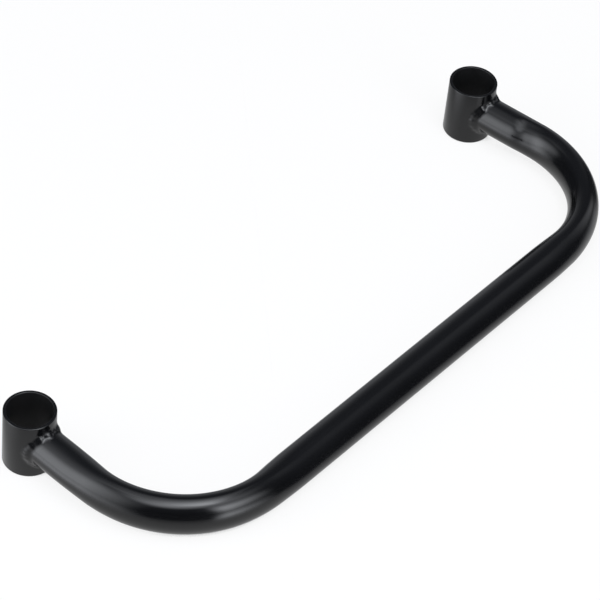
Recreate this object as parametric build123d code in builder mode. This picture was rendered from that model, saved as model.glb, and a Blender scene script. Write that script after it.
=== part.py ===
"""Push handle: a bent steel tube with a post sleeve welded to each of its ends.

Millimetres, +Z up along the sleeves. The origin lies midway between the two sleeve axes, at half
their height. The grip runs along X on the -Y side, where the hands push.
"""

import os
from math import cos, pi, radians, sqrt, tan

from build123d import *

# Driving dimensions: the U that the tube is bent to
post_spacing = 447.0  # from one sleeve axis to the other
bar_reach = 137.0  # from the sleeve axes out to the centreline of the grip
arm_splay = 2.85  # degrees that each arm leans outwards on its way to the grip
bend_radius = 76.2  # on the tube's centreline

# Driving dimensions: the tube
tube_diameter = 25.4
tube_wall = 1.5
bend_flattening = 0.165  # share of the tube's width that bending takes away
flattening_run = 54.0  # length over which the round tube turns oval, centred on a bend's end
bend_spans = 24  # stretches from one drawn section of a bend to the next

# Driving dimensions: the sleeves and the welds
sleeve_diameter = 34.0
sleeve_wall = 2.0
sleeve_height = 43.0
rim_chamfer = 0.5  # edge break on the rims
weld_leg = 4.0  # how far the weld reaches along the tube and along the sleeve

# Worked out from the driving dimensions
tube_radius = tube_diameter / 2
sleeve_radius = sleeve_diameter / 2
corner_x = post_spacing / 2 + bar_reach * tan(radians(arm_splay))
post_x = {"left": -post_spacing / 2, "right": post_spacing / 2}

os.makedirs("parts", exist_ok=True)

# Centreline of the right half: arm, bend, and the grip as far as the middle of the handle
with BuildLine() as half_centreline:
    FilletPolyline(
        (post_x["right"], 0),
        (corner_x, -bar_reach),
        (0, -bar_reach),
        radius=bend_radius,
    )
half_path = half_centreline.wire()
arm_line, bend_arc = half_centreline.edges().sort_by(half_path)[:2]
bend_start = arm_line.length
bend_end = bend_start + bend_arc.length
oval_start = bend_start - flattening_run / 2
oval_end = bend_end + flattening_run / 2


def across_tube(distance):
    """Plane square to the centreline, a distance along it, with its x direction upwards."""
    return Plane(
        origin=half_path.position_at(distance, position_mode=PositionMode.LENGTH),
        x_dir=(0, 0, 1),
        z_dir=half_path.tangent_at(distance, position_mode=PositionMode.LENGTH),
    )


def eased(share):
    """Smooth step from 0 to 1 that leaves and arrives level, with no sudden curvature."""
    share = min(max(share, 0), 1)
    return share**3 * (10 - 15 * share + 6 * share**2)


def tube_section(distance):
    """Half height and half width of the tube, a distance along its centreline.

    The tube keeps its girth where a bend squeezes it, so it grows taller as it grows narrower.
    """
    into_bend = eased((distance - oval_start) / flattening_run)
    out_of_bend = eased((oval_end - distance) / flattening_run)
    half_width = tube_radius * (1 - bend_flattening * into_bend * out_of_bend)
    half_height = sqrt(2 * tube_radius**2 - half_width**2)
    return half_height, half_width


def round_section(distance):
    """Wall of the round tube, square to the centreline, a distance along it."""
    with BuildSketch(across_tube(distance)) as ring:
        Circle(tube_radius)
        Circle(tube_radius - tube_wall, mode=Mode.SUBTRACT)
    return ring.sketch


# Handle tube: round arms and grip, bends squeezed oval, and ends coped to the sleeves. The sections
# of a bend crowd together towards its ends, so that it runs on from the round tube without a kink.
with BuildPart() as handle_tube:
    extrude(round_section(0), amount=oval_start)
    for section in range(bend_spans + 1):
        share = (1 - cos(pi * section / bend_spans)) / 2
        distance = oval_start + (oval_end - oval_start) * share
        half_height, half_width = tube_section(distance)
        with BuildSketch(across_tube(distance)):
            Ellipse(half_height, half_width)
            Ellipse(half_height - tube_wall, half_width - tube_wall, mode=Mode.SUBTRACT)
    loft()
    mirror(about=Plane.YZ)
    extrude(round_section(oval_end), amount=2 * (half_path.length - oval_end))
    with Locations((post_x["left"], 0), (post_x["right"], 0)):
        Cylinder(sleeve_radius, sleeve_height, mode=Mode.SUBTRACT)
handle_tube.part.label = "handle_tube"
export_step(handle_tube.part, "parts/handle_tube.step")

# Post sleeves: short open tubes, deburred at the rims
for side, x in post_x.items():
    with BuildPart() as sleeve:
        with BuildSketch(Plane((x, 0, -sleeve_height / 2))):
            Circle(sleeve_radius)
            Circle(sleeve_radius - sleeve_wall, mode=Mode.SUBTRACT)
        extrude(amount=sleeve_height)
        chamfer(sleeve.edges().filter_by(GeomType.CIRCLE), min(rim_chamfer, sleeve_wall / 3))
    sleeve.part.label = f"{side}_sleeve"
    export_step(sleeve.part, f"parts/{side}_sleeve.step")

# Right weld: fills the corner all round the saddle where the arm meets its sleeve
with BuildPart() as right_weld:
    with Locations((post_x["right"], 0)):
        sleeve_body = Cylinder(sleeve_radius, sleeve_height)
    with BuildSketch(across_tube(0)):
        Circle(tube_radius)
    arm_body = extrude(amount=sleeve_radius + 2 * weld_leg)
    saddle = right_weld.edges(Select.NEW).filter_by(GeomType.BSPLINE)
    chamfer(saddle, weld_leg)
    add([sleeve_body, arm_body], mode=Mode.SUBTRACT)
right_weld.part.label = "right_weld"
export_step(right_weld.part, "parts/right_weld.step")

# Left weld: the same on the other arm
with BuildPart() as left_weld:
    mirror(right_weld.part, about=Plane.YZ)
left_weld.part.label = "left_weld"
export_step(left_weld.part, "parts/left_weld.step")
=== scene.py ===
"""Push handle in gloss black paint: a bent steel tube with a post sleeve welded to each of its ends.

Metres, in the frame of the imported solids: X runs along the grip from the left sleeve to the right one,
+Z runs up the sleeves, and the grip lies on the -Y side, where the hands push.
"""

import logging
import math
import random
from dataclasses import dataclass, field
from enum import Enum

import bpy
from mathutils import Matrix, Vector


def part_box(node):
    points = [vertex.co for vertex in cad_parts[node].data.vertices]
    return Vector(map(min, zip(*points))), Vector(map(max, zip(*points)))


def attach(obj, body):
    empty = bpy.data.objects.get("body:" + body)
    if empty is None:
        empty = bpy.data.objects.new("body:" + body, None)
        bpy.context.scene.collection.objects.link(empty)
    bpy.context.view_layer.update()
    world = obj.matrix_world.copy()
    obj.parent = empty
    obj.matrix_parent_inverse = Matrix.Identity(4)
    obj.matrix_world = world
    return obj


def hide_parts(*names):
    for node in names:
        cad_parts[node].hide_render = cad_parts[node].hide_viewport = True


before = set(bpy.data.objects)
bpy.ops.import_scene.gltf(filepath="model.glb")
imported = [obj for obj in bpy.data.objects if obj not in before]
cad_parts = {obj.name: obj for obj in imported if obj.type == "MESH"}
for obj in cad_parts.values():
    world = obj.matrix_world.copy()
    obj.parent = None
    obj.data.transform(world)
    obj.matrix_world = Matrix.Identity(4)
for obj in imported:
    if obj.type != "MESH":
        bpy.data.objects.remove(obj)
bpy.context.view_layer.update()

LOG = logging.getLogger("push_handle")
BODY = "root"
MILLIMETRE = 0.001


class Side(Enum):
    """End of the handle, with the sign of its X."""

    LEFT = -1
    RIGHT = 1

    @property
    def word(self) -> str:
        """The side's name as the nodes spell it."""
        return self.name.lower()


# Modelling steps that several pieces share


def clear_selection() -> None:
    """Leave edit mode and deselect every object."""
    if bpy.context.object and bpy.context.object.mode != "OBJECT":
        bpy.ops.object.mode_set(mode="OBJECT")
    bpy.ops.object.select_all(action="DESELECT")


def select_only(piece: bpy.types.Object) -> None:
    """Make one object the only one selected, and the active one.

    Args:
        piece: Object to work on.
    """
    clear_selection()
    piece.select_set(True)
    bpy.context.view_layer.objects.active = piece


def apply_place(piece: bpy.types.Object) -> None:
    """Move a piece's place, turn and scale into its mesh.

    Args:
        piece: Object that ends up at the origin.
    """
    select_only(piece)
    bpy.ops.object.transform_apply(location=True, rotation=True, scale=True)


def apply_modifier(piece: bpy.types.Object, kind: str, **settings: object) -> None:
    """Add a modifier, set it and apply it at once.

    Args:
        piece: Object that is modified.
        kind: Blender's name for the type of modifier.
        settings: Values for the modifier's properties.
    """
    select_only(piece)
    modifier = piece.modifiers.new(kind.lower(), kind)
    for key, value in settings.items():
        setattr(modifier, key, value)
    bpy.ops.object.modifier_apply(modifier=modifier.name)


def cut_away(piece: bpy.types.Object, cutter: bpy.types.Object) -> None:
    """Take the cutter's volume out of a piece, then delete the cutter.

    Args:
        piece: Object that is cut.
        cutter: Closed object that is used up.
    """
    apply_modifier(piece, "BOOLEAN", operation="DIFFERENCE", solver="MANIFOLD", object=cutter)
    bpy.data.objects.remove(cutter)


def close_mesh(piece: bpy.types.Object, merge_distance: float = 1e-6) -> None:
    """Merge doubled points and turn every face outwards.

    Args:
        piece: Object to clean.
        merge_distance: Points nearer to each other than this become one.
    """
    select_only(piece)
    bpy.ops.object.mode_set(mode="EDIT")
    bpy.ops.mesh.select_all(action="SELECT")
    bpy.ops.mesh.remove_doubles(threshold=merge_distance)
    bpy.ops.mesh.normals_make_consistent(inside=False)
    bpy.ops.object.mode_set(mode="OBJECT")


def keep_largest(piece: bpy.types.Object) -> None:
    """Drop the crumbs that a cut leaves beside the piece itself.

    Args:
        piece: Object of which the loose part with the most faces is kept.
    """
    select_only(piece)
    bpy.ops.object.mode_set(mode="EDIT")
    bpy.ops.mesh.select_all(action="SELECT")
    bpy.ops.mesh.separate(type="LOOSE")
    bpy.ops.object.mode_set(mode="OBJECT")
    crumbs = [part for part in bpy.context.selected_objects if part != piece]
    for crumb in crumbs:
        if len(crumb.data.polygons) > len(piece.data.polygons):
            piece.data, crumb.data = crumb.data, piece.data
    for crumb in crumbs:
        bpy.data.objects.remove(crumb)


def smooth(piece: bpy.types.Object, crease_degrees: float = 30.0) -> None:
    """Shade a piece smooth, apart from its sharper edges.

    Args:
        piece: Object to shade.
        crease_degrees: Edges that turn by more than this stay sharp.
    """
    select_only(piece)
    bpy.ops.object.shade_smooth_by_angle(angle=math.radians(crease_degrees))


def hand_over(piece: bpy.types.Object, name: str, node: str, material: bpy.types.Material) -> None:
    """Name and paint a finished piece, and let it stand for its solid.

    Args:
        piece: Finished object.
        name: Name that the piece gets.
        node: Solid that the piece replaces.
        material: Finish of the whole piece.
    """
    piece.name = name
    piece.data.name = name
    piece.data.materials.clear()
    piece.data.materials.append(material)
    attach(piece, BODY)
    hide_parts(node)
    LOG.info("%s: %d faces, stands for %s", name, len(piece.data.polygons), node)


# Finishes


def map_range(
    tree: bpy.types.NodeTree,
    given: tuple[float, float],
    wanted: tuple[float, float] = (0.0, 1.0),
) -> bpy.types.Node:
    """Add a node that maps one range of values to another and holds what lies outside at its ends.

    Args:
        tree: Node tree that the node goes into.
        given: Values that come in.
        wanted: Values that go out for them.

    Returns:
        Map Range node, not linked yet.
    """
    node = tree.nodes.new("ShaderNodeMapRange")
    node.inputs["From Min"].default_value, node.inputs["From Max"].default_value = given
    node.inputs["To Min"].default_value, node.inputs["To Max"].default_value = wanted
    return node


def arithmetic(tree: bpy.types.NodeTree, operation: str) -> bpy.types.Node:
    """Add a node that works out one number.

    Args:
        tree: Node tree that the node goes into.
        operation: Blender's name for the sum.

    Returns:
        Math node, not linked yet.
    """
    node = tree.nodes.new("ShaderNodeMath")
    node.operation = operation
    return node


def sprayed_coat_group() -> bpy.types.NodeTree:
    """Build, once, the uneven surface that a sprayed and baked coat of paint has.

    Returns:
        Node group that turns a place into paint colour, roughness and orange-peel height.
    """
    name = "SprayedCoat"
    peel_detail = 1.5
    peel_fineness = 0.45
    clouds_per_metre = 22.0
    cloud_detail = 3.0
    cloud_span = (0.3, 0.7)
    swing_span = (-1.0, 1.0)
    lightness_span = (0.85, 1.15)
    if name in bpy.data.node_groups:
        return bpy.data.node_groups[name]
    group = bpy.data.node_groups.new(name, "ShaderNodeTree")
    sockets = group.interface
    sockets.new_socket("Place", in_out="INPUT", socket_type="NodeSocketVector")
    sockets.new_socket("Paint", in_out="INPUT", socket_type="NodeSocketColor")
    for label in ("Roughness", "Unevenness", "Peel Scale", "Peel Height"):
        sockets.new_socket(label, in_out="INPUT", socket_type="NodeSocketFloat")
    sockets.new_socket("Color", in_out="OUTPUT", socket_type="NodeSocketColor")
    sockets.new_socket("Roughness", in_out="OUTPUT", socket_type="NodeSocketFloat")
    sockets.new_socket("Height", in_out="OUTPUT", socket_type="NodeSocketFloat")
    nodes, links = group.nodes, group.links
    given = nodes.new("NodeGroupInput")
    result = nodes.new("NodeGroupOutput")

    # Orange peel: shallow dimples with finer ones among them
    peel = nodes.new("ShaderNodeTexNoise")
    peel.inputs["Detail"].default_value = peel_detail
    peel.inputs["Roughness"].default_value = peel_fineness
    links.new(given.outputs["Place"], peel.inputs["Vector"])
    links.new(given.outputs["Peel Scale"], peel.inputs["Scale"])
    height = arithmetic(group, "MULTIPLY")
    links.new(peel.outputs["Fac"], height.inputs[0])
    links.new(given.outputs["Peel Height"], height.inputs[1])
    links.new(height.outputs["Value"], result.inputs["Height"])

    # Cloudy gloss: the coat lies a little thicker here and thinner there
    cloud = nodes.new("ShaderNodeTexNoise")
    cloud.inputs["Scale"].default_value = clouds_per_metre
    cloud.inputs["Detail"].default_value = cloud_detail
    links.new(given.outputs["Place"], cloud.inputs["Vector"])
    swing = map_range(group, cloud_span, swing_span)
    links.new(cloud.outputs["Fac"], swing.inputs["Value"])
    rough = arithmetic(group, "MULTIPLY_ADD")
    links.new(swing.outputs["Result"], rough.inputs[0])
    links.new(given.outputs["Unevenness"], rough.inputs[1])
    links.new(given.outputs["Roughness"], rough.inputs[2])
    links.new(rough.outputs["Value"], result.inputs["Roughness"])

    # Colour: the duller places are a trace lighter
    shade = nodes.new("ShaderNodeHueSaturation")
    links.new(given.outputs["Paint"], shade.inputs["Color"])
    lightness = map_range(group, swing_span, lightness_span)
    links.new(swing.outputs["Result"], lightness.inputs["Value"])
    links.new(lightness.outputs["Result"], shade.inputs["Value"])
    links.new(shade.outputs["Color"], result.inputs["Color"])
    return group


def overspray_group() -> bpy.types.NodeTree:
    """Build, once, the dull coat that the inside of a bore gets when only overspray reaches it.

    Returns:
        Node group that turns a place and the gloss outside into the roughness there.
    """
    name = "BoreOverspray"
    if name in bpy.data.node_groups:
        return bpy.data.node_groups[name]
    group = bpy.data.node_groups.new(name, "ShaderNodeTree")
    sockets = group.interface
    sockets.new_socket("Place", in_out="INPUT", socket_type="NodeSocketVector")
    for label in ("Axis X", "Bore Radius", "Roughness", "Dull Roughness"):
        sockets.new_socket(label, in_out="INPUT", socket_type="NodeSocketFloat")
    sockets.new_socket("Roughness", in_out="OUTPUT", socket_type="NodeSocketFloat")
    nodes, links = group.nodes, group.links
    given = nodes.new("NodeGroupInput")
    result = nodes.new("NodeGroupOutput")

    # Distance from the bore's upright axis
    split = nodes.new("ShaderNodeSeparateXYZ")
    aside = arithmetic(group, "SUBTRACT")
    level = nodes.new("ShaderNodeCombineXYZ")
    distance = nodes.new("ShaderNodeVectorMath")
    distance.operation = "LENGTH"
    links.new(given.outputs["Place"], split.inputs["Vector"])
    links.new(split.outputs["X"], aside.inputs[0])
    links.new(given.outputs["Axis X"], aside.inputs[1])
    links.new(aside.outputs["Value"], level.inputs["X"])
    links.new(split.outputs["Y"], level.inputs["Y"])
    links.new(level.outputs["Vector"], distance.inputs[0])

    # Dull up to the bore's wall, glossy from there outwards
    inside = arithmetic(group, "LESS_THAN")
    mix = nodes.new("ShaderNodeMix")
    links.new(distance.outputs["Value"], inside.inputs[0])
    links.new(given.outputs["Bore Radius"], inside.inputs[1])
    links.new(inside.outputs["Value"], mix.inputs["Factor"])
    links.new(given.outputs["Roughness"], mix.inputs["A"])
    links.new(given.outputs["Dull Roughness"], mix.inputs["B"])
    links.new(mix.outputs["Result"], result.inputs["Roughness"])
    return group


@dataclass(frozen=True)
class PaintFinish:
    """Gloss black paint over bare steel, with a dull coat inside the bore of a piece that has one."""

    name: str
    color: tuple[float, float, float] = (0.0030, 0.0031, 0.0035)
    roughness: float = 0.15
    unevenness: float = 0.02
    peel_spacing: float = 2.2 * MILLIMETRE
    peel_depth: float = 0.004 * MILLIMETRE
    index_of_refraction: float = 1.5
    bore_axis_x: float = 0.0
    bore_radius: float = 0.0
    bore_roughness: float = 0.5

    def material(self) -> bpy.types.Material:
        """Build the finish.

        Returns:
            Material with the paint's colour, gloss and orange peel.
        """
        material = bpy.data.materials.new(self.name)
        material.use_nodes = True
        nodes, links = material.node_tree.nodes, material.node_tree.links
        shader = nodes["Principled BSDF"]
        shader.inputs["IOR"].default_value = self.index_of_refraction
        place = nodes.new("ShaderNodeTexCoord")
        coat = nodes.new("ShaderNodeGroup")
        coat.node_tree = sprayed_coat_group()
        coat.inputs["Paint"].default_value = (*self.color, 1.0)
        coat.inputs["Roughness"].default_value = self.roughness
        coat.inputs["Unevenness"].default_value = self.unevenness
        coat.inputs["Peel Scale"].default_value = 1 / self.peel_spacing
        coat.inputs["Peel Height"].default_value = self.peel_depth
        links.new(place.outputs["Object"], coat.inputs["Place"])
        links.new(coat.outputs["Color"], shader.inputs["Base Color"])
        overspray = nodes.new("ShaderNodeGroup")
        overspray.node_tree = overspray_group()
        overspray.inputs["Axis X"].default_value = self.bore_axis_x
        overspray.inputs["Bore Radius"].default_value = self.bore_radius
        overspray.inputs["Dull Roughness"].default_value = self.bore_roughness
        links.new(place.outputs["Object"], overspray.inputs["Place"])
        links.new(coat.outputs["Roughness"], overspray.inputs["Roughness"])
        links.new(overspray.outputs["Roughness"], shader.inputs["Roughness"])
        bump = nodes.new("ShaderNodeBump")
        bump.inputs["Distance"].default_value = 1.0
        links.new(coat.outputs["Height"], bump.inputs["Height"])
        links.new(bump.outputs["Normal"], shader.inputs["Normal"])
        return material


# The handle's own pieces


@dataclass
class PostSleeve:
    """Short open sleeve that slips over a post."""

    side: Side
    wall: float = 2.0 * MILLIMETRE
    rim_round: float = 0.5 * MILLIMETRE
    rim_segments: int = 4
    rim_edge: float = math.radians(60)
    flats: int = 160
    x: float = field(init=False)
    radius: float = field(init=False)
    height: float = field(init=False)

    def __post_init__(self) -> None:
        """Take the sleeve's size and place from its solid."""
        low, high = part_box(self.node)
        self.x = (low[0] + high[0]) / 2
        self.radius = (high[1] - low[1]) / 2
        self.height = high[2] - low[2]

    @property
    def node(self) -> str:
        """Name of the sleeve's solid."""
        return f"{self.side.word}_sleeve"

    @property
    def finish(self) -> PaintFinish:
        """Gloss paint outside, with dull overspray in the bore up to the round of the rims."""
        bore = self.radius - self.wall + self.rim_round / 2
        return PaintFinish(f"{self.node}_black_paint", bore_axis_x=self.x, bore_radius=bore)

    def blank(self, radius: float, height: float) -> bpy.types.Object:
        """Solid round bar on the sleeve's axis, to cut with.

        Args:
            radius: Radius of the bar.
            height: Length of the bar, half of it above the origin's height.

        Returns:
            New closed cylinder.
        """
        clear_selection()
        bpy.ops.mesh.primitive_cylinder_add(
            vertices=self.flats, radius=radius, depth=height, location=(self.x, 0, 0)
        )
        return bpy.context.object

    def build(self) -> bpy.types.Object:
        """Model the sleeve as cut tube with rounded rims.

        Returns:
            Finished sleeve.
        """
        clear_selection()
        bpy.ops.mesh.primitive_cylinder_add(
            vertices=self.flats,
            radius=self.radius,
            depth=self.height,
            end_fill_type="NOTHING",
            location=(self.x, 0, 0),
        )
        sleeve = bpy.context.object
        apply_place(sleeve)
        apply_modifier(sleeve, "SOLIDIFY", thickness=self.wall, offset=-1.0, use_even_offset=True)
        apply_modifier(
            sleeve,
            "BEVEL",
            width=self.rim_round,
            segments=self.rim_segments,
            limit_method="ANGLE",
            angle_limit=self.rim_edge,
        )
        close_mesh(sleeve)
        smooth(sleeve)
        hand_over(sleeve, f"{self.side.word}_post_sleeve", self.node, self.finish.material())
        return sleeve


def eased(share: float) -> float:
    """Smooth step from 0 to 1 that leaves and arrives level, with no sudden curvature."""
    share = min(max(share, 0.0), 1.0)
    return share**3 * (10 - 15 * share + 6 * share**2)


@dataclass(frozen=True)
class ClampMark:
    """Shallow step that the edge of the bending tool's clamp pressed into the inner side of an arm.

    Lengths run along the arm from the sleeve's axis, and turns are degrees above the arm's inner side.
    The start shifts by the slant for each degree above slant_from. Each edge holds the turn where the
    step starts to run out and the turn where it is gone.
    """

    side: Side
    start: float = 41.2 * MILLIMETRE
    run: float = 12.6 * MILLIMETRE
    recovery: float = 28.0 * MILLIMETRE
    depth: float = 1.3 * MILLIMETRE
    slant: float = -0.06 * MILLIMETRE
    slant_from: float = 34.0
    upper_edge: tuple[float, float] = (74.0, 104.0)
    lower_edge: tuple[float, float] = (62.0, -110.0)

    def share(self, along: float, turn: float) -> float:
        """Share of the mark's depth at one place.

        Args:
            along: Distance along the arm.
            turn: Degrees above the arm's inner side.

        Returns:
            Share from 0 outside the mark to 1 where it is deepest.
        """
        past = along - self.start - self.slant * max(turn - self.slant_from, 0.0)
        lengthwise = eased(past / self.run) - eased((past - self.run) / self.recovery)
        above = eased((turn - self.upper_edge[0]) / (self.upper_edge[1] - self.upper_edge[0]))
        below = eased((turn - self.lower_edge[0]) / (self.lower_edge[1] - self.lower_edge[0]))
        return lengthwise * (1 - above) * (1 - below)


@dataclass
class HandleTube:
    """Steel tube bent twice into a flat U, with oval bends and ends coped to the sleeves."""

    sleeves: list[PostSleeve]
    radius: float = 12.7 * MILLIMETRE
    wall: float = 1.5 * MILLIMETRE
    reach: float = 137.0 * MILLIMETRE
    arm_splay: float = math.radians(2.85)
    bend_radius: float = 76.2 * MILLIMETRE
    flattening: float = 0.165
    flattening_run: float = 54.0 * MILLIMETRE
    marks: tuple[ClampMark, ...] = (ClampMark(Side.RIGHT),)
    sides: int = 128
    ring_step: float = 1.5 * MILLIMETRE
    seam_merge: float = 0.01 * MILLIMETRE

    @property
    def post_x(self) -> float:
        """Distance of each sleeve's axis from the middle of the handle."""
        return max(sleeve.x for sleeve in self.sleeves)

    @property
    def bend_angle(self) -> float:
        """Angle that each bend turns through, a little past square because the arms splay."""
        return math.pi / 2 + self.arm_splay

    @property
    def bend_length(self) -> float:
        """Length of a bend along the centreline."""
        return self.bend_radius * self.bend_angle

    @property
    def tangent_length(self) -> float:
        """Distance from a bend's corner to where it starts on the arm and on the grip."""
        return self.bend_radius * math.tan(self.bend_angle / 2)

    @property
    def grip_half(self) -> float:
        """Half length of the straight grip."""
        return self.post_x + self.reach * math.tan(self.arm_splay) - self.tangent_length

    @property
    def arm_length(self) -> float:
        """Straight length from a bend to the axis of the sleeve."""
        return self.reach / math.cos(self.arm_splay) - self.tangent_length

    def arm_direction(self, side: Side) -> Vector:
        """Unit direction from a sleeve's axis along its arm.

        Args:
            side: End of the handle.

        Returns:
            Direction in the handle's plane.
        """
        return Vector((side.value * math.sin(self.arm_splay), -math.cos(self.arm_splay), 0))

    def section(self, past_bend_start: float) -> tuple[float, float]:
        """Half width and half height of the tube.

        Args:
            past_bend_start: Distance along the centreline from where the grip ends and the bend starts.

        Returns:
            Half width in the handle's plane, and half height square to it, with the girth kept.
        """
        half_run = self.flattening_run / 2
        into_bend = eased((past_bend_start + half_run) / self.flattening_run)
        out_of_bend = eased((self.bend_length + half_run - past_bend_start) / self.flattening_run)
        half_width = self.radius * (1 - self.flattening * into_bend * out_of_bend)
        half_height = math.sqrt(2 * self.radius**2 - half_width**2)
        return half_width, half_height

    def stations(self) -> list[float]:
        """Places of the rings that the straight half tube is drawn with.

        Returns:
            Distances past the bend's start, from the middle of the grip to the sleeve's axis.
        """
        oval_from = -self.flattening_run / 2
        oval_to = self.bend_length + self.flattening_run / 2
        steps = math.ceil((oval_to - oval_from) / self.ring_step)
        oval = [oval_from + (oval_to - oval_from) * step / steps for step in range(steps + 1)]
        return [-self.grip_half, *oval, self.bend_length + self.arm_length]

    def straight_half(self) -> bpy.types.Object:
        """Draw half of the tube straight along X, with the oval stretch that the bend will have.

        Returns:
            Open tube of one skin, with the start of the bend at the origin.
        """
        stations = self.stations()
        clear_selection()
        bpy.ops.mesh.primitive_circle_add(
            vertices=self.sides,
            radius=self.radius,
            location=(stations[0], 0, 0),
            rotation=(0, math.pi / 2, 0),
        )
        tube = bpy.context.object
        apply_place(tube)
        bpy.ops.object.mode_set(mode="EDIT")
        bpy.ops.mesh.select_all(action="SELECT")
        for start, end in zip(stations, stations[1:]):
            bpy.ops.mesh.extrude_region_move(TRANSFORM_OT_translate={"value": (end - start, 0, 0)})
            width, height = self.section(start)
            next_width, next_height = self.section(end)
            bpy.ops.transform.resize(
                value=(1, next_width / width, next_height / height), center_override=(end, 0, 0)
            )
        bpy.ops.object.mode_set(mode="OBJECT")
        return tube

    def press(self, tube: bpy.types.Object, mark: ClampMark) -> None:
        """Press a clamp's mark into the tube's skin.

        Args:
            tube: Whole bent tube, before it has a wall.
            mark: Place and depth of the mark.
        """
        along = self.arm_direction(mark.side)
        inward = Vector((along.y, -along.x, 0)) * mark.side.value
        sleeve_axis = Vector((mark.side.value * self.post_x, 0, 0))
        pressed = tube.vertex_groups.new(name="clamp_mark")
        for point in tube.data.vertices:
            reach = point.co - sleeve_axis
            aside = reach.dot(inward)
            on_arm = abs(aside) < 2 * self.radius
            share = mark.share(reach.dot(along), math.degrees(math.atan2(reach.z, aside)))
            if on_arm and share > 0:
                pressed.add([point.index], share, "REPLACE")
        apply_modifier(
            tube,
            "DISPLACE",
            direction="NORMAL",
            strength=-mark.depth,
            mid_level=0.0,
            vertex_group=pressed.name,
        )
        tube.vertex_groups.clear()

    def build(self, material: bpy.types.Material) -> bpy.types.Object:
        """Bend the half tube, mirror it, mark it, give it its wall and cope its ends.

        Args:
            material: Finish of the tube.

        Returns:
            Finished tube.
        """
        tube = self.straight_half()
        whole = self.grip_half + self.bend_length + self.arm_length
        apply_modifier(
            tube,
            "SIMPLE_DEFORM",
            deform_method="BEND",
            deform_axis="Z",
            angle=self.bend_angle,
            limits=(self.grip_half / whole, (self.grip_half + self.bend_length) / whole),
        )
        tube.location = (self.grip_half, -self.reach, 0)
        apply_place(tube)
        apply_modifier(tube, "MIRROR", use_axis=(True, False, False), merge_threshold=self.seam_merge)
        close_mesh(tube)
        for mark in self.marks:
            self.press(tube, mark)
        apply_modifier(tube, "SOLIDIFY", thickness=self.wall, offset=-1.0, use_even_offset=True)
        for sleeve in self.sleeves:
            cut_away(tube, sleeve.blank(sleeve.radius, sleeve.height))
        smooth(tube)
        hand_over(tube, "bent_tube", "handle_tube", material)
        return tube


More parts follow.
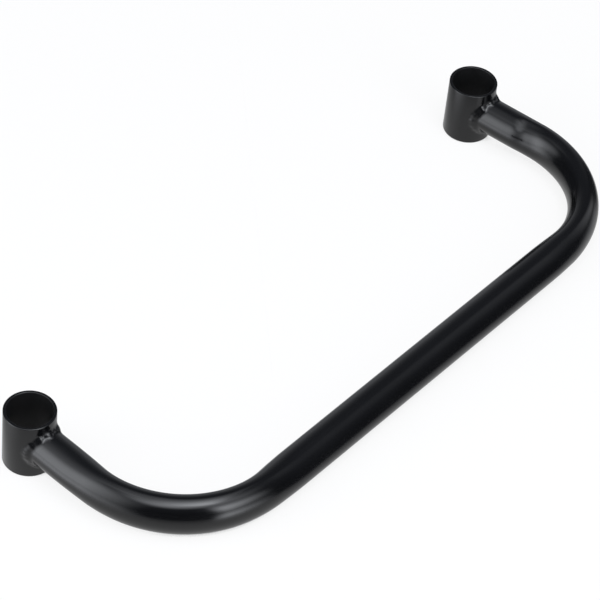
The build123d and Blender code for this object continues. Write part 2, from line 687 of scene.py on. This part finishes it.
@dataclass
class WeldBead:
    """Hand-laid weld that fills the corner all round the saddle where an arm meets its sleeve.

    Its ripples are even below and uneven above, and there they also stray by a share of the pitch.
    """

    sleeve: PostSleeve
    tube: HandleTube
    seed: int
    pitch: float = 3.6 * MILLIMETRE
    ripple_along: float = 2.6 * MILLIMETRE
    ripple_out: float = 2.2 * MILLIMETRE
    ripple_across: float = 3.2 * MILLIMETRE
    uneven_above: float = 0.35
    uneven_below: float = 0.03
    arm_run: float = 16.0 * MILLIMETRE
    stray: float = 0.5
    ball_subdivisions: int = 3
    saddle_steps: int = 720
    voxel: float = 0.4 * MILLIMETRE
    melting: float = 0.5
    melting_passes: int = 120
    crease_degrees: float = 40.0

    def saddle(self, turn: float) -> tuple[Vector, Vector, Vector]:
        """Point of the saddle and the directions that the weld takes there.

        Args:
            turn: Angle round the arm, in radians.

        Returns:
            Point on the corner, the tube's outward normal and the sleeve's outward normal.
        """
        along = self.tube.arm_direction(self.sleeve.side)
        upright = Vector((0, 0, 1))
        sideways = along.cross(upright)
        tube_normal = sideways * math.cos(turn) + upright * math.sin(turn)
        offset = self.tube.radius * math.cos(turn)
        out = math.sqrt(self.sleeve.radius**2 - offset**2)
        on_plan = along * out + sideways * offset
        point = Vector((self.sleeve.x, 0, 0)) + on_plan + upright * self.tube.radius * math.sin(turn)
        return point, tube_normal, on_plan.normalized()

    def turns(self) -> list[float]:
        """Angles round the arm that step along the saddle by the welder's pitch.

        Returns:
            Angles in radians, evenly spaced along the saddle.
        """
        angles = [2 * math.pi * step / self.saddle_steps for step in range(self.saddle_steps + 1)]
        points = [self.saddle(angle)[0] for angle in angles]
        travelled = [0.0]
        for start, end in zip(points, points[1:]):
            travelled.append(travelled[-1] + (end - start).length)
        count = round(travelled[-1] / self.pitch)
        turns = []
        for ripple in range(count):
            wanted = travelled[-1] * ripple / count
            turns.append(next(angle for angle, gone in zip(angles, travelled) if gone >= wanted))
        return turns

    def ripple(self, turn: float, size: float) -> bpy.types.Object:
        """Lay one ripple of the weld.

        Args:
            turn: Angle round the arm.
            size: Share of the usual size.

        Returns:
            Flattened ball across the corner.
        """
        point, tube_normal, sleeve_normal = self.saddle(turn)
        out = (tube_normal + sleeve_normal).normalized()
        across = (tube_normal - sleeve_normal).normalized()
        along = out.cross(across)
        clear_selection()
        bpy.ops.mesh.primitive_ico_sphere_add(subdivisions=self.ball_subdivisions, radius=1.0)
        ball = bpy.context.object
        turned = Matrix((along, out, across)).transposed().to_4x4()
        lengths = (self.ripple_along * size, self.ripple_out * size, self.ripple_across * size, 1)
        ball.matrix_world = Matrix.Translation(point) @ turned @ Matrix.Diagonal(lengths)
        apply_place(ball)
        return ball

    def arm_blank(self, length: float) -> bpy.types.Object:
        """Solid round bar along the arm.

        Args:
            length: How far the bar reaches from the sleeve's axis.

        Returns:
            New closed cylinder, as thick as the tube.
        """
        along = self.tube.arm_direction(self.sleeve.side)
        clear_selection()
        bpy.ops.mesh.primitive_cylinder_add(
            vertices=self.tube.sides,
            radius=self.tube.radius,
            depth=length,
            location=Vector((self.sleeve.x, 0, 0)) + along * length / 2,
            rotation=along.to_track_quat("Z", "Y").to_euler(),
        )
        return bpy.context.object

    def melted(self) -> bpy.types.Object:
        """Lay the ripples on a bare arm and sleeve, and melt all of it together.

        Returns:
            Closed object that rounds out the corner between the arm and the sleeve.
        """
        draw = random.Random(self.seed)
        lumps = [
            self.sleeve.blank(self.sleeve.radius, self.sleeve.height),
            self.arm_blank(self.sleeve.radius + self.arm_run),
        ]
        for turn in self.turns():
            above = max(math.sin(turn), 0.0)
            uneven = self.uneven_below + (self.uneven_above - self.uneven_below) * above
            strayed = draw.uniform(-self.stray, self.stray) * above * self.pitch / self.tube.radius
            lumps.append(self.ripple(turn + strayed, 1 + draw.uniform(-1, 1) * uneven))
        select_only(lumps[0])
        for lump in lumps:
            lump.select_set(True)
        bpy.ops.object.join()
        whole = bpy.context.object
        apply_place(whole)
        apply_modifier(whole, "REMESH", mode="VOXEL", voxel_size=self.voxel)
        apply_modifier(whole, "SMOOTH", factor=self.melting, iterations=self.melting_passes)
        return whole

    def build(self, material: bpy.types.Material) -> bpy.types.Object:
        """Keep what the melted corner adds to the arm and the sleeve.

        Args:
            material: Finish of the weld.

        Returns:
            Finished bead.
        """
        bead = self.melted()
        cut_away(bead, self.sleeve.blank(self.sleeve.radius, 2 * self.sleeve.height))
        cut_away(bead, self.arm_blank(2 * self.sleeve.height))
        keep_largest(bead)
        close_mesh(bead)
        smooth(bead, self.crease_degrees)
        word = self.sleeve.side.word
        hand_over(bead, f"{word}_weld_bead", f"{word}_weld", material)
        return bead


# Studio


@dataclass(frozen=True)
class Fade:
    """Shares of a lamp's width and height that it fades over at its edges, as seen from the handle."""

    right: float
    left: float
    lower: float
    upper: float


@dataclass(frozen=True)
class Softbox:
    """Flat studio lamp that faces the handle and fades towards its edges.

    The bearing turns from +X towards +Y, and both angles are degrees.
    """

    name: str
    bearing: float
    elevation: float
    width: float
    height: float
    radiance: float
    fade: Fade
    distance: float = 3.0
    color: tuple[float, float, float] = (0.975, 1.0, 1.05)

    def feather(self, lamp: bpy.types.Light) -> None:
        """Let the lamp's strength run out towards its edges.

        Args:
            lamp: Data of the area lamp.
        """
        lamp.use_nodes = True
        nodes, links = lamp.node_tree.nodes, lamp.node_tree.links
        across = nodes.new("ShaderNodeNewGeometry")
        split = nodes.new("ShaderNodeSeparateXYZ")
        links.new(across.outputs["Parametric"], split.inputs["Vector"])
        ramps = (
            ("X", (0.0, self.fade.right)),
            ("X", (1.0, 1.0 - self.fade.left)),
            ("Y", (0.0, self.fade.lower)),
            ("Y", (1.0, 1.0 - self.fade.upper)),
        )
        strength = None
        for axis, run in ramps:
            ramp = map_range(lamp.node_tree, run)
            ramp.interpolation_type = "SMOOTHSTEP"
            links.new(split.outputs[axis], ramp.inputs["Value"])
            if strength is None:
                strength = ramp.outputs["Result"]
                continue
            both = arithmetic(lamp.node_tree, "MULTIPLY")
            links.new(strength, both.inputs[0])
            links.new(ramp.outputs["Result"], both.inputs[1])
            strength = both.outputs["Value"]
        links.new(strength, nodes["Emission"].inputs["Strength"])

    def place(self, target: Vector, level: Matrix) -> bpy.types.Object:
        """Set the lamp up.

        Args:
            target: Point that the lamp faces.
            level: Turn from a level floor to the floor that the handle rests on.

        Returns:
            Area lamp.
        """
        bearing, elevation = math.radians(self.bearing), math.radians(self.elevation)
        away = level @ Vector(
            (
                math.cos(elevation) * math.cos(bearing),
                math.cos(elevation) * math.sin(bearing),
                math.sin(elevation),
            )
        )
        clear_selection()
        bpy.ops.object.light_add(
            type="AREA",
            location=target + away * self.distance,
            rotation=away.to_track_quat("Z", "Y").to_euler(),
        )
        lamp = bpy.context.object
        lamp.name = self.name
        lamp.data.shape = "RECTANGLE"
        lamp.data.size = self.width
        lamp.data.size_y = self.height
        lamp.data.energy = self.radiance * math.pi * self.width * self.height
        lamp.data.color = self.color
        self.feather(lamp.data)
        return lamp


@dataclass(frozen=True)
class PhotoCamera:
    """Camera at the photograph's viewing angle."""

    azimuth: float = math.radians(-53.93)
    elevation: float = math.radians(44.72)
    roll: float = math.radians(6.52)
    distance: float = 1.971
    target: tuple[float, float, float] = (0.0, -0.0685, 0.0)
    slide_right: float = -27.6 * MILLIMETRE
    slide_up: float = 6.6 * MILLIMETRE
    lens: float = 179.4
    sensor: float = 36.0

    def place(self) -> bpy.types.Object:
        """Create the camera and make it the scene's own.

        Returns:
            Camera object.
        """
        back = Vector(
            (
                math.sin(self.azimuth) * math.cos(self.elevation),
                -math.cos(self.azimuth) * math.cos(self.elevation),
                math.sin(self.elevation),
            )
        )
        level_right = Vector((math.cos(self.azimuth), math.sin(self.azimuth), 0))
        level_up = back.cross(level_right)
        right = level_right * math.cos(self.roll) + level_up * math.sin(self.roll)
        up = level_up * math.cos(self.roll) - level_right * math.sin(self.roll)
        place = Vector(self.target) + back * self.distance + right * self.slide_right + up * self.slide_up
        clear_selection()
        bpy.ops.object.camera_add()
        camera = bpy.context.object
        camera.name = "photo_camera"
        turn = Matrix((right, up, back)).transposed().to_4x4()
        camera.matrix_world = Matrix.Translation(place) @ turn
        camera.data.lens = self.lens
        camera.data.sensor_width = self.sensor
        camera.data.dof.use_dof = False
        bpy.context.scene.camera = camera
        return camera


@dataclass
class Studio:
    """Pale floor, soft lamps and a dim room.

    The floor's lift is the white that the camera sees, and the handle mirrors a share of it. Close under
    the handle, within shade_reach, ambient occlusion darkens the lift into a painted shadow.
    """

    tube: HandleTube
    floor_size: float = 60.0
    floor_color: float = 0.12
    floor_lift: float = 0.86
    floor_mirrored: float = 0.62
    floor_index: float = 1.5
    floor_polish: tuple[float, float] = (0.045, 0.2)
    floor_roughness: float = 0.15
    shade_reach: float = 60.0 * MILLIMETRE
    shade_range: tuple[float, float] = (0.08, 0.25)
    clearance: float = 0.05 * MILLIMETRE
    room_color: tuple[float, float, float] = (0.9, 0.97, 1.15)
    room_levels: tuple[float, float] = (0.05, 0.16)
    room_heights: tuple[float, float] = (0.2, 0.9)
    softboxes: tuple[Softbox, ...] = (
        Softbox(
            "left_softbox",
            bearing=161.0,
            elevation=29.5,
            width=4.9,
            height=4.1,
            radiance=5.2,
            fade=Fade(right=0.45, left=0.9, lower=0.1, upper=0.65),
        ),
        Softbox(
            "upper_left_panel",
            bearing=111.0,
            elevation=64.5,
            width=2.6,
            height=2.1,
            radiance=0.9,
            fade=Fade(right=0.9, left=0.3, lower=0.3, upper=0.05),
        ),
        Softbox(
            "front_softbox",
            bearing=-91.5,
            elevation=18.0,
            width=2.7,
            height=3.6,
            radiance=6.8,
            fade=Fade(right=0.25, left=0.9, lower=0.65, upper=0.55),
        ),
        Softbox(
            "high_softbox",
            bearing=-118.0,
            elevation=66.0,
            width=5.2,
            height=3.8,
            radiance=4.5,
            fade=Fade(right=0.35, left=0.65, lower=0.45, upper=0.8),
        ),
        Softbox(
            "overhead_softbox",
            bearing=-71.0,
            elevation=87.5,
            width=2.1,
            height=4.5,
            radiance=5.7,
            fade=Fade(right=0.3, left=0.9, lower=0.9, upper=0.2),
        ),
        Softbox(
            "backdrop_glow",
            bearing=43.0,
            elevation=13.0,
            width=6.0,
            height=5.5,
            radiance=0.6,
            fade=Fade(right=0.25, left=0.3, lower=0.45, upper=0.9),
            distance=4.0,
        ),
        Softbox(
            "right_reflector",
            bearing=-25.5,
            elevation=31.0,
            width=2.3,
            height=4.5,
            radiance=1.2,
            fade=Fade(right=0.9, left=0.3, lower=0.4, upper=0.9),
        ),
    )

    def rest_tilt(self) -> float:
        """Angle by which the handle leans when it lies on the sleeves' front rims and on its bends.

        Returns:
            Angle in radians between the floor and the handle's plane.
        """
        sleeve = self.tube.sleeves[0]
        leans = []
        for station in self.tube.stations():
            turned = min(max(station / self.tube.bend_radius, 0.0), self.tube.bend_angle)
            out = self.tube.reach - self.tube.bend_radius * (1 - math.cos(turned)) - sleeve.radius
            drop = sleeve.height / 2 - self.tube.section(station)[1]
            if out > sleeve.radius:
                leans.append(math.atan2(drop, out))
        return min(leans)

    def floor_material(self) -> bpy.types.Material:
        """Build the pale floor, which shows as white but keeps the handle's shadow.

        Returns:
            Material with a slight sheen.
        """
        material = bpy.data.materials.new("pale_floor")
        material.use_nodes = True
        nodes, links = material.node_tree.nodes, material.node_tree.links
        nodes.remove(nodes["Principled BSDF"])
        diffuse = nodes.new("ShaderNodeBsdfDiffuse")
        grey = self.floor_color
        diffuse.inputs["Color"].default_value = (grey, grey, grey, 1.0)
        path = nodes.new("ShaderNodeLightPath")
        # Painted shadow: ambient occlusion darkens the floor's white lift close under the handle and
        # inside the bores
        openness = nodes.new("ShaderNodeAmbientOcclusion")
        openness.inputs["Distance"].default_value = self.shade_reach
        lit = map_range(material.node_tree, self.shade_range)
        links.new(openness.outputs["AO"], lit.inputs["Value"])
        shares = {"Is Camera Ray": 1.0, "Is Glossy Ray": self.floor_mirrored, "Is Transmission Ray": 1.0}
        seen = None
        for ray, share in shares.items():
            strength = arithmetic(material.node_tree, "MULTIPLY_ADD")
            strength.inputs[1].default_value = self.floor_lift * share
            strength.inputs[2].default_value = 0.0
            links.new(path.outputs[ray], strength.inputs[0])
            if seen:
                links.new(seen, strength.inputs[2])
            seen = strength.outputs["Value"]
        shaded = arithmetic(material.node_tree, "MULTIPLY")
        links.new(seen, shaded.inputs[0])
        links.new(lit.outputs["Result"], shaded.inputs[1])
        lift = nodes.new("ShaderNodeEmission")
        links.new(shaded.outputs["Value"], lift.inputs["Strength"])
        pale = nodes.new("ShaderNodeAddShader")
        links.new(diffuse.outputs["BSDF"], pale.inputs[0])
        links.new(lift.outputs["Emission"], pale.inputs[1])
        sheen = nodes.new("ShaderNodeBsdfGlossy")
        sheen.inputs["Roughness"].default_value = self.floor_roughness
        grazing = nodes.new("ShaderNodeFresnel")
        grazing.inputs["IOR"].default_value = self.floor_index
        polish = map_range(material.node_tree, self.floor_polish)
        links.new(grazing.outputs["Fac"], polish.inputs["Value"])
        links.new(path.outputs["Is Glossy Ray"], polish.inputs["To Max"])
        both = nodes.new("ShaderNodeMixShader")
        links.new(polish.outputs["Result"], both.inputs["Fac"])
        links.new(pale.outputs["Shader"], both.inputs[1])
        links.new(sheen.outputs["BSDF"], both.inputs[2])
        links.new(both.outputs["Shader"], nodes["Material Output"].inputs["Surface"])
        return material

    def room(self) -> bpy.types.World:
        """Build the dim room, which lightens towards its ceiling.

        Returns:
            World for the scene.
        """
        world = bpy.data.worlds.new("room")
        world.use_nodes = True
        nodes, links = world.node_tree.nodes, world.node_tree.links
        direction = nodes.new("ShaderNodeTexCoord")
        split = nodes.new("ShaderNodeSeparateXYZ")
        ceiling = map_range(world.node_tree, self.room_heights, self.room_levels)
        links.new(direction.outputs["Generated"], split.inputs["Vector"])
        links.new(split.outputs["Z"], ceiling.inputs["Value"])
        background = nodes["Background"]
        background.inputs["Color"].default_value = (*self.room_color, 1.0)
        links.new(ceiling.outputs["Result"], background.inputs["Strength"])
        return world

    def build(self) -> None:
        """Lay the floor, light the handle and set the camera up."""
        tilt = self.rest_tilt()
        level = Matrix.Rotation(-tilt, 3, "X")
        sleeve = self.tube.sleeves[0]
        floor_up = level @ Vector((0, 0, 1))
        contact = Vector((0, -sleeve.radius, -sleeve.height / 2))
        clear_selection()
        bpy.ops.mesh.primitive_plane_add(
            size=self.floor_size,
            location=floor_up * (floor_up.dot(contact) - self.clearance),
            rotation=level.to_euler(),
        )
        floor = bpy.context.object
        floor.name = "floor"
        floor.data.materials.append(self.floor_material())
        for softbox in self.softboxes:
            softbox.place(Vector((0, -self.tube.reach / 2, 0)), level)
        bpy.context.scene.world = self.room()
        PhotoCamera().place()
        lean = math.degrees(tilt)
        LOG.info("studio: floor leans %.2f degrees, %d softboxes", lean, len(self.softboxes))


def main() -> None:
    """Build the handle piece by piece, then the studio round it."""
    logging.basicConfig(level=logging.INFO, format="%(name)s: %(message)s")
    bpy.context.scene.view_settings.view_transform = "Standard"
    gloss = PaintFinish("gloss_black_paint").material()
    weld_gloss = PaintFinish("weld_black_paint", roughness=0.2, unevenness=0.04).material()
    sleeves = [PostSleeve(side) for side in Side]
    tube = HandleTube(sleeves)
    tube.build(gloss)
    for seed, sleeve in enumerate(sleeves):
        sleeve.build()
        WeldBead(sleeve, tube, seed).build(weld_gloss)
    Studio(tube).build()


if __name__ == "__main__":
    main()
